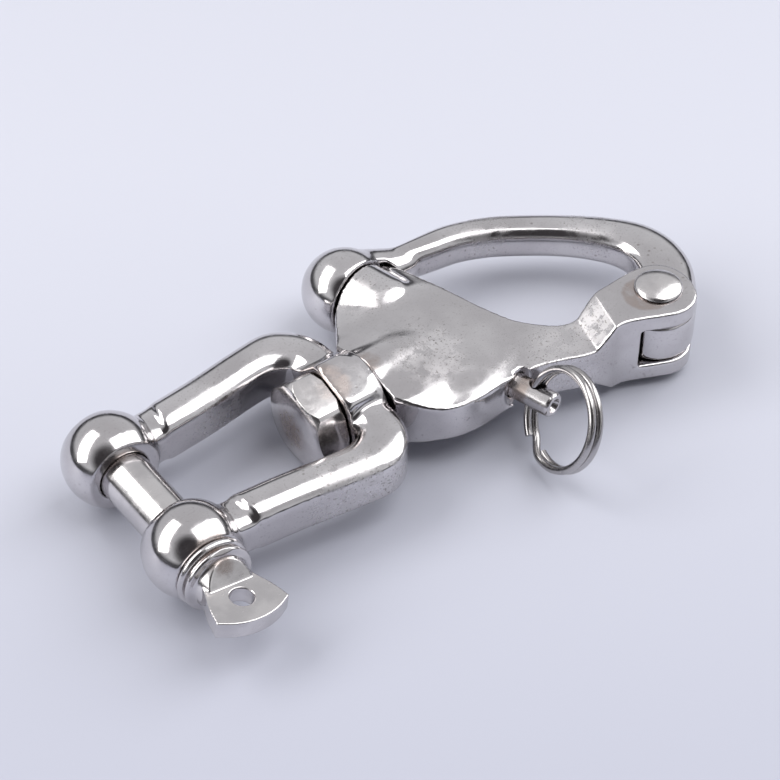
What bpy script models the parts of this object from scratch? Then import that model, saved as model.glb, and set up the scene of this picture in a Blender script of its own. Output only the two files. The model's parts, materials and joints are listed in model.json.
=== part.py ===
"""A snap shackle with a swivelling fork end, cast and forged in stainless steel.

The shackle lies flat, as on a table. +X runs along the pull, from the jaw pin to the crown of the bow.
+Y runs along the jaw pin, from its wing to its thread, and +Z is up.
Every piece is built in these coordinates, with X = 0 on the jaw pin and Y = 0 on the swivel axis,
and one empty then moves the whole shackle so that its footprint is centred on the origin.
"""

import math

import bmesh
import bpy
from mathutils import Matrix, Vector

MM = 0.001

# ---- clearances ----------------------------------------------------------------------------------
RUN_GAP = 0.15 * MM  # radial, between a pin and the bore it turns or slides in
SEAT_GAP = 0.30 * MM  # between two faces that lie together
SLOT_GAP = 0.25 * MM  # on each side of the bow's eye in the fork
PAST = 3.0 * MM  # how far a cutter runs past the face it starts from
FAR = 30.0 * MM  # far enough to pass right through any piece

# ---- jaw -----------------------------------------------------------------------------------------
BALL_R = 8.77 * MM  # the two ball eyes
MID_Z = BALL_R  # height of the middle plane, which holds every axis but the rivet's and the ring's
JAW_PIN_R = 4.85 * MM  # M10
EYE_Y = 13.25 * MM  # centre of each ball eye
EYE_TO_INNER = 5.15 * MM  # from there to the flat that faces the other eye
EYE_TO_OUTER = 5.5 * MM  # and to the flat that the pin's collar seats on
LEG_HALF = 5.15 * MM
LEG_ROUND = 2.3 * MM
LEG_START_X = 4.0 * MM
LEG_START_IN = EYE_Y - 4.35 * MM
LEG_START_OUT = EYE_Y + 3.75 * MM
CROTCH_X = 37.3 * MM  # inner face of the crossbar, under the bolt head
CROTCH_HALF = 12.4 * MM
SHOULDER_HALF = 20.8 * MM
CROSSBAR = 8.7 * MM
HUB_AF = 17.4 * MM
HUB_R = 9.75 * MM  # over the hub's turned corners
HUB_END_R = 8.9 * MM
HUB_TURN = math.radians(45)  # where the first corner of the hub and of the bolt head stands

# ---- swivel bolt ---------------------------------------------------------------------------------
BOLT_R = 4.85 * MM  # M10
HEAD_AF = 15.6 * MM
HEAD_R = 8.8 * MM  # the hexagon's corners are turned to this
HEAD_H = 7.0 * MM
HEAD_DOME = 0.3 * MM
HEAD_OVERLAP = 0.5 * MM  # how far the hexagon and the shank that shape the bolt run into each other
BOLT_END_GAP = 0.6 * MM  # between the bolt's end and the bottom of its hole
BOLT_WALL = 2.0 * MM  # between that hole and the spring's bore

# ---- jaw pin -------------------------------------------------------------------------------------
COLLAR_R = JAW_PIN_R + 2.05 * MM
COLLAR_2_R = COLLAR_R - 0.4 * MM
COLLAR_L = 2.8 * MM
COLLAR_GAP = 0.15 * MM  # under the collar
PIN_SHORT = 0.3 * MM  # how far the pin's end stops inside the far eye
NECK_R = COLLAR_2_R - 1.1 * MM
NECK_L = 2.9 * MM
WING_HALF = 1.7 * MM
WING_ROOT = 4.3 * MM  # half width where the blade leaves the neck
WING_TIP = 7.0 * MM
WING_L = 7.3 * MM
WING_BULGE = 2.2 * MM
WING_HOLE_R = 2.15 * MM
WING_HOLE_FROM_ROOT = 3.7 * MM
RAMP_SKIN = 0.25 * MM  # left of the neck where its two ramps start
PIN_TURN = math.radians(10)  # how far the pin stopped turning past level

# ---- plan of the body and the bow ------------------------------------------------------------------
BODY_END_X = CROTCH_X + CROSSBAR + SEAT_GAP  # the body's end face, beside the crossbar
BODY_RUN = 55.7 * MM  # from there to the rivet
RIVET_SIDE = 17.0 * MM  # how far the rivet stands off the swivel axis
LATCH_SIDE = 21.2 * MM  # how far the socket face stands off it, on the other side
DRAWN = Vector((55.7, 17.0, 21.2))  # the same three sizes as the outlines are drawn, in mm
SOCKET_PLACE = (14.2, 21.2)  # centre of the socket face on the drawn plan
SOCKET_SHOULDER = (23.7, 18.2)  # and of the corner beside it that faces the eye
WALL_PLACE = (23.6, -16.64)  # where the plunger leaves the body on the drawn plan

# ---- body ----------------------------------------------------------------------------------------
BODY_RIM_HALF = 3.0 * MM  # at the swivel end
BODY_WAIST_HALF = 4.15 * MM
RIM_RUN = 15.7 * MM  # from the end face to where the rim starts to thicken
WAIST_TO_RIVET = 24.0 * MM  # it has its full thickness from here
BODY_BOSS_R = BOLT_R + 2.85 * MM  # around the swivel bolt
BOSS_L = 15.0 * MM
BOSS_TAPER_L = 14.0 * MM
BOSS_LEAD = 2.0 * MM  # how far a boss starts outside the body that trims it
BOSS_TIP_R = 2.0 * MM
PILLOW = Vector((16.0, 20.0, 6.3)) * MM  # half sizes of the swelling over both bores
PILLOW_AT = Vector((BODY_END_X + 13.7 * MM, 3.5 * MM, 0.0))
FORK_HALF = 7.9 * MM
EAR = 3.5 * MM
RAMP_TO_RIVET = 16.2 * MM
RAMP_L = 4.4 * MM
RAMP_SIDE = 2.0 * MM  # the ramp turns about a point this far to +Y of the rivet
RAMP_SKEW = math.radians(-16)
RAMP_SUNK = 0.3 * MM  # how far the ramp starts inside the waist

# ---- latch: the plunger slides along one line in the middle plane -----------------------------------
LATCH_ANGLE = math.radians(-76)  # direction of the pull on the ring, from +X
PLUNGER_R = 2.45 * MM
NOSE_L = 3.6 * MM  # how far the plunger reaches into the bow's tip
TAIL_L = 7.3 * MM  # how far it stands out of the body
SHOULDER_R = PLUNGER_R + 0.65 * MM
SHOULDER_L = 1.6 * MM
SHOULDER_AT = 1.2 * MM  # depth of the shoulder below the socket face
GUIDE_L = 13.0 * MM  # the close bore that guides the plunger's tail
SPRING_WIRE_R = 0.32 * MM
SPRING_R = PLUNGER_R + SPRING_WIRE_R + 0.18 * MM
SPRING_BORE_R = SPRING_R + SPRING_WIRE_R + 0.13 * MM
SPRING_END_GAP = 0.08 * MM
SPRING_TURNS = 11
LATCH_BOSS_R = SPRING_BORE_R + 2.9 * MM
LATCH_BOSS_L = 9.0 * MM
LATCH_TAPER_L = 9.0 * MM
RECESS_R = PLUNGER_R + 1.55 * MM
RECESS_DEPTH = 1.3 * MM

# ---- split ring -----------------------------------------------------------------------------------
RING_WIRE_R = 0.75 * MM
RING_R = 9.2 * MM  # to the middle of the wire
RING_LAY = 2 * RING_WIRE_R + 0.12 * MM  # between the two turns
RING_HOLE_R = RING_LAY / 2 + RING_WIRE_R + 0.19 * MM
RING_HOLE_AT = 2.8 * MM  # from the wall
RING_TILT = math.radians(25)  # of the cross hole, from vertical
RING_REST = math.radians(-22)  # swing of the ring at rest, from straight out
RING_CUT = math.radians(250)  # where the wire's first end lies

# ---- bow and rivet --------------------------------------------------------------------------------
RIVET_R = 3.0 * MM
RIVET_HEAD_R = RIVET_R + 1.6 * MM
RIVET_HEAD_H = 1.7 * MM
HEAD_GAP = 0.1 * MM  # under each rivet head
BOW_HALF = 3.85 * MM
BOW_ROUND = 2.4 * MM
BOW_EYE_R = 8.2 * MM
SLOT_REACH = 1.0 * MM  # the slot is cut this much deeper than the bow's eye
SLOT_BACK = BOW_EYE_R - 0.3 * MM  # its straight back wall, from the rivet
TIP_R = 8.4 * MM
TIP_FLAT = 3.2 * MM  # from the middle of the ball to its mating face
TIP_HOLE_GAP = 0.35 * MM
NOSE_GAP = 0.8 * MM  # beyond the plunger's nose
SOCKET_SPARE = 0.9 * MM  # between the bow and the socket's widest side
SOCKET_ROOM_L = 12.0 * MM  # how far along the plunger the bow's bar keeps clear of it

AROUND = 32  # facets around a turned shape


def on_plan(x, y):
    """A drawn point, in mm from the end face and the swivel axis, stretched to the sizes set above."""
    side = LATCH_SIDE / DRAWN.z if y > 0 else RIVET_SIDE / DRAWN.y
    return Vector((BODY_END_X + x * BODY_RUN / DRAWN.x, y * side, 0.0))


pull_dir = Vector((math.cos(LATCH_ANGLE), math.sin(LATCH_ANGLE), 0.0))
side_dir = Vector((-pull_dir.y, pull_dir.x, 0.0))
x_dir = Vector((1.0, 0.0, 0.0))
y_dir = Vector((0.0, 1.0, 0.0))
up_dir = Vector((0.0, 0.0, 1.0))
mid = Vector((0.0, 0.0, MID_Z))
rivet_at = Vector((BODY_END_X + BODY_RUN, -RIVET_SIDE, 0.0))
latch_face = on_plan(*SOCKET_PLACE)
latch_length = (latch_face.y - on_plan(*WALL_PLACE).y) / -pull_dir.y  # from socket to wall
spring_bore_length = latch_length - GUIDE_L
socket_room_r = (on_plan(*SOCKET_SHOULDER) - latch_face).dot(side_dir) + SOCKET_SPARE


# ---- helpers --------------------------------------------------------------------------------------
def clear_scene():
    for obj in list(bpy.data.objects):
        bpy.data.objects.remove(obj)


def new_collection(name):
    made = bpy.data.collections.new(name)
    bpy.context.scene.collection.children.link(made)
    return made


def steel(name, color, roughness):
    made = bpy.data.materials.new(name)
    made.use_nodes = True
    shader = made.node_tree.nodes["Principled BSDF"]
    shader.inputs["Base Color"].default_value = (*color, 1.0)
    shader.inputs["Roughness"].default_value = roughness
    shader.inputs["Metallic"].default_value = 1.0
    made.diffuse_color = (*color, 1.0)
    return made


def add_object(name, data, matrix=None):
    """A helper solid, hidden from the render until it is made a part."""
    obj = bpy.data.objects.new(name, data)
    cutters.objects.link(obj)
    obj.hide_render = True
    obj.display_type = "WIRE"
    if matrix is not None:
        obj.data.transform(matrix)
    return obj


def frame_at(point, z_axis, x_axis=None):
    """A matrix that takes local +Z to z_axis and the origin to point."""
    z = Vector(z_axis).normalized()
    x = Vector(x_axis) if x_axis is not None else z.orthogonal()
    x = (x - x.dot(z) * z).normalized()
    y = z.cross(x)
    turn = Matrix((x, y, z)).transposed().to_4x4()
    return Matrix.Translation(point) @ turn


def from_bmesh(name, shape, matrix=None):
    data = bpy.data.meshes.new(name)
    shape.to_mesh(data)
    shape.free()
    return add_object(name, data, matrix)


def box(name, low, high):
    shape = bmesh.new()
    bmesh.ops.create_cube(shape, size=1.0)
    size = Vector(high) - Vector(low)
    middle = (Vector(high) + Vector(low)) / 2
    return from_bmesh(name, shape, Matrix.Translation(middle) @ Matrix.Diagonal((*size, 1.0)))


def cone(name, start, axis, length, start_r, end_r, facets=AROUND, x_axis=None):
    shape = bmesh.new()
    bmesh.ops.create_cone(
        shape, cap_ends=True, segments=facets, radius1=start_r, radius2=end_r, depth=length
    )
    bmesh.ops.translate(shape, verts=shape.verts, vec=(0.0, 0.0, length / 2))
    return from_bmesh(name, shape, frame_at(start, axis, x_axis))


def rod(name, start, axis, length, radius, facets=AROUND):
    return cone(name, start, axis, length, radius, radius, facets)


def ball(name, centre, half_sizes):
    shape = bmesh.new()
    bmesh.ops.create_uvsphere(shape, u_segments=28, v_segments=16, radius=1.0)
    stretch = Matrix.Diagonal((*half_sizes, 1.0))
    return from_bmesh(name, shape, Matrix.Translation(centre) @ stretch)


def turned(name, profile, point, axis, facets=AROUND, x_axis=None):
    """A solid of revolution from (radius, height) pairs that run from the top down the outer side."""
    data = bpy.data.meshes.new(name)
    points = [(radius, 0.0, height) for radius, height in profile]
    data.from_pydata(points, [(i, i + 1) for i in range(len(points) - 1)], [])
    obj = add_object(name, data)
    screw = obj.modifiers.new("Turn", "SCREW")
    screw.steps = facets
    screw.render_steps = facets
    screw.use_merge_vertices = True
    screw.merge_threshold = 0.01 * MM
    return settle(obj, frame_at(point, axis, x_axis))


def settle(obj, matrix=None):
    """Replaces an object by a plain welded mesh of what it evaluates to."""
    bpy.context.view_layer.update()
    graph = bpy.context.evaluated_depsgraph_get()
    data = bpy.data.meshes.new_from_object(obj.evaluated_get(graph))
    shape = bmesh.new()
    shape.from_mesh(data)
    bmesh.ops.remove_doubles(shape, verts=shape.verts, dist=0.002 * MM)
    shape.to_mesh(data)
    shape.free()
    data.transform(obj.matrix_world)
    name = obj.name
    bpy.data.objects.remove(obj)
    return add_object(name, data, matrix)


def fit_plan(points):
    """Outline points from the drawn plan of the body and the bow."""
    return [(*on_plan(*point[:2]).xy, *point[2:]) for point in points]


def outline(name, points, half_thickness, resolution=3):
    """A flat plate about the middle plane. A point is (x, y), or (x, y, "corner") where it turns sharply."""
    data = bpy.data.curves.new(name, "CURVE")
    data.dimensions = "2D"
    data.fill_mode = "BOTH"
    data.extrude = half_thickness
    data.resolution_u = resolution
    line = data.splines.new("BEZIER")
    line.use_cyclic_u = True
    line.bezier_points.add(len(points) - 1)
    for knot, point in zip(line.bezier_points, points):
        knot.co = (point[0], point[1], 0.0)
        sort = "VECTOR" if len(point) == 3 else "AUTO"
        knot.handle_left_type = sort
        knot.handle_right_type = sort
    obj = bpy.data.objects.new(name, data)
    cutters.objects.link(obj)
    return settle(obj, Matrix.Translation(mid))


def combine(obj, other, operation):
    """Applies one Boolean, so that what follows sees a plain mesh."""
    change = obj.modifiers.new(operation.title(), "BOOLEAN")
    change.operation = operation
    change.object = other
    return settle(obj)


def join(obj, *others):
    for other in others:
        obj = combine(obj, other, "UNION")
    return obj


def cut(obj, *others):
    for other in others:
        obj = combine(obj, other, "DIFFERENCE")
    return obj


def round_rims(obj, width, segments=2):
    """Rounds the rims of a plate: the edges between its flat faces and its walls."""
    shape = bmesh.new()
    shape.from_mesh(obj.data)
    bmesh.ops.dissolve_limit(
        shape, angle_limit=math.radians(0.5), verts=shape.verts, edges=shape.edges
    )
    rims = []
    for edge in shape.edges:
        flats = [abs(face.normal.z) > 0.99 for face in edge.link_faces]
        if len(flats) == 2 and flats[0] != flats[1]:
            rims.append(edge)
    bmesh.ops.bevel(
        shape,
        geom=rims,
        offset=width,
        segments=segments,
        profile=0.5,
        affect="EDGES",
        clamp_overlap=True,
    )
    shape.to_mesh(obj.data)
    shape.free()
    return obj


def finish(obj, name, material, origin, sharp=math.radians(32)):
    """Makes a solid a part: its name, its material, its origin on its joint axis."""
    cutters.objects.unlink(obj)
    parts.objects.link(obj)
    obj.name = name
    obj.data.name = name
    obj.hide_render = False
    obj.display_type = "TEXTURED"
    obj.data.materials.clear()
    obj.data.materials.append(material)
    obj.data.transform(Matrix.Translation(-Vector(origin)))
    obj.location = origin
    obj.data.shade_smooth()
    obj.data.set_sharp_from_angle(angle=sharp)
    obj.parent = shackle
    return obj


def latch_point(depth, sideways=0.0):
    """A point on the latch line, depth below the socket face along the pull."""
    return latch_face + mid + pull_dir * depth + side_dir * sideways


# ---- the body --------------------------------------------------------------------------------------
def body_outline():
    """The plan of the body, from its end face round the ring's side, the fork and the socket."""
    return fit_plan(
        [
            (0.0, -9.2, "corner"),
            (2.1, -12.2),
            (4.6, -14.4),
            (8.3, -16.3),
            (13.3, -17.0),
            (19.7, -16.6),
            (26.2, -16.8),
            (31.5, -18.5),
            (36.2, -20.3),
            (40.5, -20.8),
            (44.2, -20.7),
            (47.7, -21.9),
            (51.5, -23.6),
            (55.2, -24.8),
            (58.9, -23.9),
            (61.5, -20.8),
            (62.2, -16.6),
            (61.3, -13.3),
            (58.9, -11.1),
            (55.9, -10.4),
            (49.7, -10.5),
            (44.3, -10.9),
            (38.3, -11.3),
            (34.2, -8.3),
            (30.3, -3.2),
            (27.5, 2.5),
            (25.9, 8.5),
            (24.7, 14.0),
            (23.7, 18.2),
            (21.5, 21.8),
            (18.7, 22.65),
            (14.0, 21.5),
            (10.2, 20.5),
            (6.3, 17.6),
            (2.7, 12.6),
            (0.0, 8.8, "corner"),
        ]
    )


def body_mass():
    """The thickness of the body: a thin plate that swells over the bolt, the latch and the fork."""
    sides = [
        (BODY_END_X - FAR, BODY_RIM_HALF),
        (BODY_END_X + RIM_RUN, BODY_RIM_HALF),
        (rivet_at.x - WAIST_TO_RIVET, BODY_WAIST_HALF),
        (rivet_at.x + FAR, BODY_WAIST_HALF),
    ]
    slab = swept("slab", sides, mid)
    swivel_start = Vector((BODY_END_X - BOSS_LEAD, 0.0, MID_Z))
    swivel_boss = boss("swivel_boss", swivel_start, x_dir, BODY_BOSS_R, BOSS_L, BOSS_TAPER_L)
    latch_start = latch_point(-BOSS_LEAD)
    latch_boss = boss("latch_boss", latch_start, pull_dir, LATCH_BOSS_R, LATCH_BOSS_L, LATCH_TAPER_L)
    pillow = ball("pillow", PILLOW_AT + mid, PILLOW)
    return join(slab, pillow, swivel_boss, latch_boss, fork_mass())


def boss(name, start, axis, radius, length, taper):
    """A round swelling that tapers off inside the body."""
    profile = [
        (0.0, length + taper),
        (BOSS_TIP_R, length + taper),
        (radius * 0.86, length + taper * 0.3),
        (radius, length),
        (radius, 0.0),
        (0.0, 0.0),
    ]
    return turned(name, profile, start, axis)


def swept(name, upper, place, turn=0.0):
    """A block whose upper and lower sides follow (x, half height) pairs, wide enough to cross the body."""
    corners = [(x, -half) for x, half in upper] + [(x, half) for x, half in reversed(upper)]
    shape = bmesh.new()
    face = shape.faces.new([shape.verts.new((x, -FAR, z)) for x, z in corners])
    made = bmesh.ops.extrude_face_region(shape, geom=[face])
    moved = [item for item in made["geom"] if isinstance(item, bmesh.types.BMVert)]
    bmesh.ops.translate(shape, verts=moved, vec=(0.0, 2 * FAR, 0.0))
    bmesh.ops.recalc_face_normals(shape, faces=shape.faces)
    return from_bmesh(name, shape, Matrix.Translation(place) @ Matrix.Rotation(turn, 4, "Z"))


def fork_mass():
    """A block with a ramp on its swivel side, which makes the fork thicker than the waist."""
    low = BODY_WAIST_HALF - RAMP_SUNK
    run = RAMP_L * (FORK_HALF - low) / (FORK_HALF - BODY_WAIST_HALF)
    profile = [(0.0, low), (run, FORK_HALF), (run + FAR, FORK_HALF)]
    lead = Vector((RAMP_TO_RIVET + run - RAMP_L, 0.0, 0.0))
    sideways = Vector((0.0, RAMP_SIDE, 0.0))
    return swept("fork_mass", profile, rivet_at + mid - lead + sideways, RAMP_SKEW)


def fork_slot():
    """The room that the bow's eye turns in, open to the front and to both sides."""
    half = FORK_HALF - EAR
    rivet = rivet_at + mid
    middle = rod("slot", rivet - up_dir * half, up_dir, 2 * half, BOW_EYE_R + SLOT_REACH, 40)
    low = rivet - Vector((SLOT_BACK, FAR, half))
    high = rivet + Vector((FAR, FAR, half))
    return join(middle, box("slot_room", low, high))


def make_body():
    plan = outline("snap_body", body_outline(), 12 * MM)
    body = combine(plan, body_mass(), "INTERSECT")
    beyond = rod("beyond_socket", latch_point(0.0), -pull_dir, FAR, socket_room_r)
    rivet_hole = rod("rivet_hole", rivet_at + mid - up_dir * FAR, up_dir, 2 * FAR, RIVET_R + RUN_GAP)
    bolt_start = Vector((BODY_END_X - PAST, 0.0, MID_Z))
    bolt_length = PAST + bolt_reach() + BOLT_END_GAP
    bolt_hole = rod("bolt_hole", bolt_start, x_dir, bolt_length, BOLT_R + RUN_GAP)
    spring_bore = rod(
        "spring_bore", latch_point(-PAST), pull_dir, spring_bore_length + PAST, SPRING_BORE_R
    )
    pin_bore = rod(
        "pin_bore", latch_point(spring_bore_length - PAST), pull_dir, FAR, PLUNGER_R + RUN_GAP
    )
    recess = rod("recess", latch_point(latch_length - RECESS_DEPTH), pull_dir, FAR, RECESS_R)
    body = cut(body, beyond, fork_slot(), rivet_hole, bolt_hole, spring_bore, pin_bore, recess)
    return finish(body, "snap_body", cast_steel, mid)


def bolt_reach():
    """How far the swivel bolt goes into the body, which stops it short of the spring's bore."""
    across = latch_point(0.0)
    line_x = across.x + across.y * pull_dir.x / -pull_dir.y
    bore_edge = line_x - SPRING_BORE_R / -pull_dir.y - BOLT_R * pull_dir.x / -pull_dir.y
    return bore_edge - BOLT_WALL - BOLT_END_GAP - BODY_END_X


# ---- the bow and its rivet -------------------------------------------------------------------------
def bow_outline():
    """The plan of the bow's bar: its outer side from the neck to the eye, then its inner side back."""
    return fit_plan(
        [
            (20.2, 28.0, "corner"),
            (24.9, 26.8),
            (29.7, 27.0),
            (34.9, 27.2),
            (40.0, 26.4),
            (44.8, 24.9),
            (49.6, 22.6),
            (54.4, 19.4),
            (59.0, 16.1),
            (63.9, 12.2),
            (68.0, 8.2),
            (71.4, 3.9),
            (72.9, -1.0),
            (72.7, -5.9),
            (70.9, -10.9),
            (67.8, -15.4),
            (64.1, -19.6),
            (59.7, -22.4, "corner"),
            (54.7, -13.0, "corner"),
            (58.9, -8.2),
            (61.5, -3.4),
            (61.3, 0.6),
            (58.7, 5.2),
            (54.1, 10.0),
            (48.9, 14.0),
            (43.7, 17.3),
            (38.3, 19.6),
            (32.7, 20.5),
            (27.2, 20.9),
            (21.7, 19.9),
            (17.7, 20.6, "corner"),
            (16.2, 24.0, "corner"),
        ]
    )


def make_bow():
    rivet = rivet_at + mid
    bar = round_rims(outline("bow", bow_outline(), BOW_HALF), BOW_ROUND)
    eye_half = FORK_HALF - EAR - SLOT_GAP
    eye = rod("bow_eye", rivet - up_dir * eye_half, up_dir, 2 * eye_half, BOW_EYE_R, 40)
    tip = ball("bow_ball", latch_point(-SEAT_GAP - TIP_FLAT), Vector((TIP_R,) * 3))
    bow = join(bar, eye, tip)
    beyond = rod("beyond_tip", latch_point(-SEAT_GAP), pull_dir, SOCKET_ROOM_L, socket_room_r)
    hole_r = PLUNGER_R + TIP_HOLE_GAP
    nose_hole = rod("nose_hole", latch_point(PAST), -pull_dir, PAST + NOSE_L + NOSE_GAP, hole_r)
    rivet_hole = rod("bow_rivet_hole", rivet - up_dir * FAR, up_dir, 2 * FAR, RIVET_R + RUN_GAP)
    bow = cut(bow, beyond, nose_hole, rivet_hole)
    return finish(bow, "bow", cast_steel, rivet)


def make_rivet():
    top = FORK_HALF + HEAD_GAP
    dome = []
    steps = 5
    for i in range(steps + 1):
        angle = math.radians(90 * i / steps)
        dome.append((RIVET_HEAD_R * math.sin(angle), top + RIVET_HEAD_H * math.cos(angle)))
    upper = dome + [(RIVET_HEAD_R - 0.25 * MM, top), (RIVET_R, top)]
    lower = [(radius, -height) for radius, height in reversed(upper)]
    rivet = turned("bow_rivet", upper + lower, rivet_at + mid, up_dir)
    return finish(rivet, "bow_rivet", bright_steel, rivet_at + mid)


# ---- the latch -------------------------------------------------------------------------------------
def make_plunger():
    tail = latch_length + TAIL_L
    shoulder_end = SHOULDER_AT + SHOULDER_L
    profile = [
        (0.0, tail - 0.9 * MM),
        (1.1 * MM, tail - 0.7 * MM),
        (1.4 * MM, tail),
        (PLUNGER_R - 0.2 * MM, tail),
        (PLUNGER_R, tail - 0.2 * MM),
        (PLUNGER_R, shoulder_end),
        (SHOULDER_R, shoulder_end),
        (SHOULDER_R, SHOULDER_AT),
        (PLUNGER_R, SHOULDER_AT),
        (PLUNGER_R, -NOSE_L + 0.5 * MM),
        (PLUNGER_R - 0.5 * MM, -NOSE_L),
        (0.0, -NOSE_L),
    ]
    plunger = turned("plunger", profile, latch_point(0.0), pull_dir, 24)
    hole_axis = ring_axis()
    hole = rod("cross_hole", ring_pivot() - hole_axis * FAR, hole_axis, 2 * FAR, RING_HOLE_R, 24)
    plunger = cut(plunger, hole)
    return finish(plunger, "plunger", bright_steel, latch_point(latch_length))


def make_spring():
    """The coil between the plunger's shoulder and the bottom of its bore."""
    start = SHOULDER_AT + SHOULDER_L + SPRING_WIRE_R + SPRING_END_GAP
    end = spring_bore_length - SPRING_WIRE_R - SPRING_END_GAP
    data = bpy.data.curves.new("plunger_spring", "CURVE")
    data.dimensions = "3D"
    data.bevel_depth = SPRING_WIRE_R
    data.bevel_resolution = 1
    data.use_fill_caps = True
    line = data.splines.new("POLY")
    per_turn = 12
    count = SPRING_TURNS * per_turn
    line.points.add(count)
    for i, point in enumerate(line.points):
        angle = 2 * math.pi * i / per_turn
        spot = latch_point(start + (end - start) * i / count, SPRING_R * math.cos(angle))
        spot = spot + up_dir * SPRING_R * math.sin(angle)
        point.co = (*spot, 1.0)
    obj = bpy.data.objects.new("plunger_spring", data)
    cutters.objects.link(obj)
    return finish(settle(obj), "plunger_spring", wire_steel, latch_point(spring_bore_length))


def ring_axis():
    """The cross hole's axis, which the ring swings about."""
    return (side_dir * math.sin(RING_TILT) + up_dir * math.cos(RING_TILT)).normalized()


def ring_pivot():
    return latch_point(latch_length + RING_HOLE_AT)


def make_ring():
    """Two turns of wire side by side, with their ends a little past each other."""
    axis = ring_axis()
    across = axis.cross(pull_dir).normalized()
    outward = pull_dir * math.cos(RING_REST) + across * math.sin(RING_REST)
    normal = outward.cross(axis).normalized()
    centre = ring_pivot() + outward * RING_R
    data = bpy.data.curves.new("split_ring", "CURVE")
    data.dimensions = "3D"
    data.bevel_depth = RING_WIRE_R
    data.bevel_resolution = 1
    data.use_fill_caps = True
    line = data.splines.new("POLY")
    per_turn = 32
    count = 2 * per_turn - 2
    line.points.add(count)
    step_start = per_turn * 0.93
    step_end = per_turn * 1.03
    for i, point in enumerate(line.points):
        angle = 2 * math.pi * i / per_turn + RING_CUT
        share = min(max((i - step_start) / (step_end - step_start), 0.0), 1.0)
        lay = RING_LAY * (share * share * (3 - 2 * share) - 0.5)
        spot = centre + RING_R * (outward * math.cos(angle) + axis * math.sin(angle)) + normal * lay
        point.co = (*spot, 1.0)
    obj = bpy.data.objects.new("split_ring", data)
    cutters.objects.link(obj)
    return finish(settle(obj), "split_ring", wire_steel, ring_pivot())


# ---- the swivel bolt and the jaw -------------------------------------------------------------------
def hex_bar(name, start, axis, length, across_flats):
    corner_r = across_flats / math.sqrt(3)
    first = Matrix.Rotation(HUB_TURN, 3, "X") @ Vector((0.0, 1.0, 0.0))
    return cone(name, start, axis, length, corner_r, corner_r, 6, first)


def make_bolt():
    seat_x = CROTCH_X - SEAT_GAP
    head_x = seat_x - HEAD_H
    end_x = BODY_END_X + bolt_reach()
    profile = [
        (0.0, end_x),
        (BOLT_R - 0.8 * MM, end_x),
        (BOLT_R, end_x - 0.8 * MM),
        (BOLT_R, seat_x),
        (HEAD_R - 0.7 * MM, seat_x),
        (HEAD_R, seat_x - 0.8 * MM),
        (HEAD_R, head_x + 2.0 * MM),
        (HEAD_R - 1.6 * MM, head_x + 0.5 * MM),
        (HEAD_R - 3.4 * MM, head_x),
        (0.0, head_x - HEAD_DOME),
    ]
    bolt = turned("swivel_bolt", profile, mid, x_dir, 48)
    flats_start = Vector((head_x - PAST, 0.0, MID_Z))
    flats = hex_bar("head_flats", flats_start, x_dir, PAST + HEAD_H + HEAD_OVERLAP, HEAD_AF)
    shank_start = Vector((seat_x - PAST, 0.0, MID_Z))
    shank = rod("shank", shank_start, x_dir, 2 * FAR, BOLT_R + HEAD_OVERLAP)
    bolt = combine(bolt, join(flats, shank), "INTERSECT")
    return finish(bolt, "swivel_bolt", bright_steel, mid)


def jaw_outline():
    """The plan of the legs and the crossbar, a U that opens towards the pin."""
    back = CROTCH_X + CROSSBAR
    leg_x = CROTCH_X - 17.3 * MM  # where each leg is about half as far out as it gets
    spread = SHOULDER_HALF - LEG_START_OUT
    outer = [
        (LEG_START_X, LEG_START_IN, "corner"),
        (LEG_START_X, LEG_START_OUT, "corner"),
        (leg_x, LEG_START_OUT + 0.45 * spread),
        (CROTCH_X - 5.3 * MM, SHOULDER_HALF - 0.35 * MM),
        (CROTCH_X + 1.2 * MM, SHOULDER_HALF),
        (back - 2.8 * MM, SHOULDER_HALF - 3.4 * MM),
        (back - 0.35 * MM, SHOULDER_HALF - 8.2 * MM),
        (back, HUB_END_R - 0.9 * MM, "corner"),
    ]
    inner = [
        (CROTCH_X, HUB_AF / 2 - 0.1 * MM, "corner"),
        (CROTCH_X - 0.6 * MM, CROTCH_HALF - 2.0 * MM),
        (CROTCH_X - 2.6 * MM, CROTCH_HALF - 0.5 * MM),
        (CROTCH_X - 6.0 * MM, CROTCH_HALF - 0.3 * MM),
        (leg_x, LEG_START_IN + 0.41 * (CROTCH_HALF - LEG_START_IN)),
    ]
    far = inner + outer
    near = [(point[0], -point[1], *point[2:]) for point in reversed(far)]
    return far + near


def ball_eye(name, side):
    """A ball with a flat towards the other eye and one under the pin's collar."""
    profile = []
    start = math.acos(EYE_TO_OUTER / BALL_R)
    end = math.acos(-EYE_TO_INNER / BALL_R)
    steps = 10
    for i in range(steps + 1):
        angle = start + (end - start) * i / steps
        profile.append((BALL_R * math.sin(angle), BALL_R * math.cos(angle)))
    rim = [(0.0, EYE_TO_OUTER)] + profile + [(0.0, -EYE_TO_INNER)]
    return turned(name, rim, Vector((0.0, side * EYE_Y, MID_Z)), side * y_dir, AROUND, x_dir)


def make_hub():
    """The block around the bolt in the middle of the crossbar: a hexagon with turned corners."""
    start = Vector((CROTCH_X, 0.0, MID_Z))
    profile = [
        (0.0, CROSSBAR + PAST),
        (HUB_END_R - 0.35 * MM, CROSSBAR + PAST),
        (HUB_END_R, CROSSBAR - 1.2 * MM),
        (HUB_R, CROSSBAR - 3.6 * MM),
        (HUB_R, 1.2 * MM),
        (HUB_R - 1.6 * MM, -PAST),
        (0.0, -PAST),
    ]
    flats = hex_bar("hub_flats", start, x_dir, CROSSBAR, HUB_AF)
    return combine(flats, turned("hub_turned", profile, start, x_dir, 40), "INTERSECT")


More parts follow.
